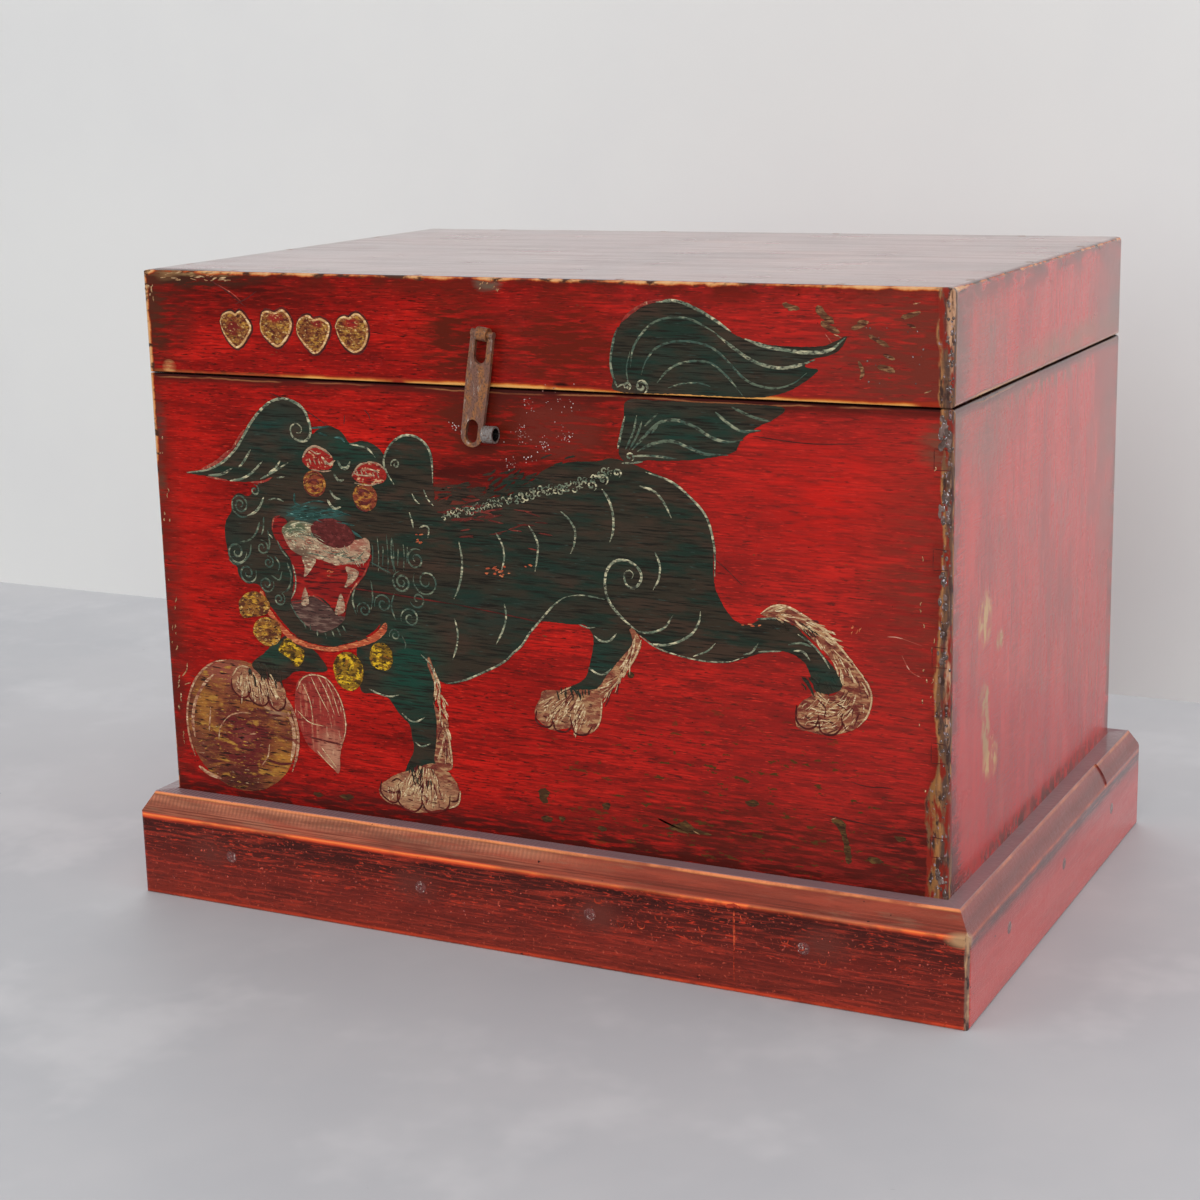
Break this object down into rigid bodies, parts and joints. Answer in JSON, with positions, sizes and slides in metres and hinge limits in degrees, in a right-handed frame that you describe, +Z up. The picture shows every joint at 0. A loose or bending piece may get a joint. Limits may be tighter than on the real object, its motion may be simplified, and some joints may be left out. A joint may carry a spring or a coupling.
{
  "type": "wooden storage trunk",
  "caption": "Flat-lidded storage trunk of pinned boards on a mitred chamfered plinth, painted red with a guardian lion, closed by a forged iron hasp over a padlock staple.",
  "frame": {"origin": "middle of the trunk's footprint, on the surface it stands on", "axes": "+X to the right along the front, seen from in front; +Y towards the back; +Z up"},
  "size_m": [0.684, 0.47, 0.494],
  "materials": {
    "red_lacquered_wood": "worn glossy red lacquer",
    "bare_pine": "bare aged softwood",
    "brown_stained_wood": "worn brown varnish",
    "forged_iron": "rusty forged iron",
    "wood_filler": "dull wood filler"
  },
  "bodies": {
    "trunk": {"front_board": "red_lacquered_wood", "back_board": "red_lacquered_wood", "left_board": "red_lacquered_wood", "right_board": "red_lacquered_wood", "floor_plank_front": "bare_pine", "floor_plank_middle": "bare_pine", "floor_plank_back": "bare_pine", "floor_nails": "forged_iron", "plinth_front": "brown_stained_wood", "plinth_back": "brown_stained_wood", "plinth_left": "brown_stained_wood", "plinth_right": "brown_stained_wood", "plinth_nails": "forged_iron", "plinth_fillers": "wood_filler", "lock_staple": "forged_iron", "hinge_leaf_left_lower": "forged_iron", "hinge_leaf_right_lower": "forged_iron", "hinge_pin_left": "forged_iron", "hinge_pin_right": "forged_iron", "hinge_screws_lower": "forged_iron"},
    "lid": {"lid_top_board": "red_lacquered_wood", "lid_front_rail": "red_lacquered_wood", "lid_back_rail": "red_lacquered_wood", "lid_left_rail": "red_lacquered_wood", "lid_right_rail": "red_lacquered_wood", "lid_nails": "forged_iron", "hinge_leaf_left_upper": "forged_iron", "hinge_leaf_right_upper": "forged_iron", "hinge_screws_upper": "forged_iron"},
    "hasp_staple": {"hasp_staple": "forged_iron"},
    "hasp": {"hasp": "forged_iron"}
  },
  "joints": [
    {"name": "lid_hinge", "type": "hinge", "parent": "trunk", "child": "lid", "pos_m": [0, 0.2173, 0.4162], "axis": [-1, 0, 0], "range_deg": [0, 105]},
    {"name": "hasp_swivel", "type": "hinge", "parent": "lid", "child": "hasp_staple", "pos_m": [-0.0215, -0.2192, 0.455], "axis": [0, 1, 0], "range_deg": [0, 45]},
    {"name": "hasp_lift", "type": "hinge", "parent": "hasp_staple", "child": "hasp", "pos_m": [-0.0215, -0.2192, 0.455], "axis": [-0.9875, 0, 0.1579], "range_deg": [-3, 170]}
  ]
}
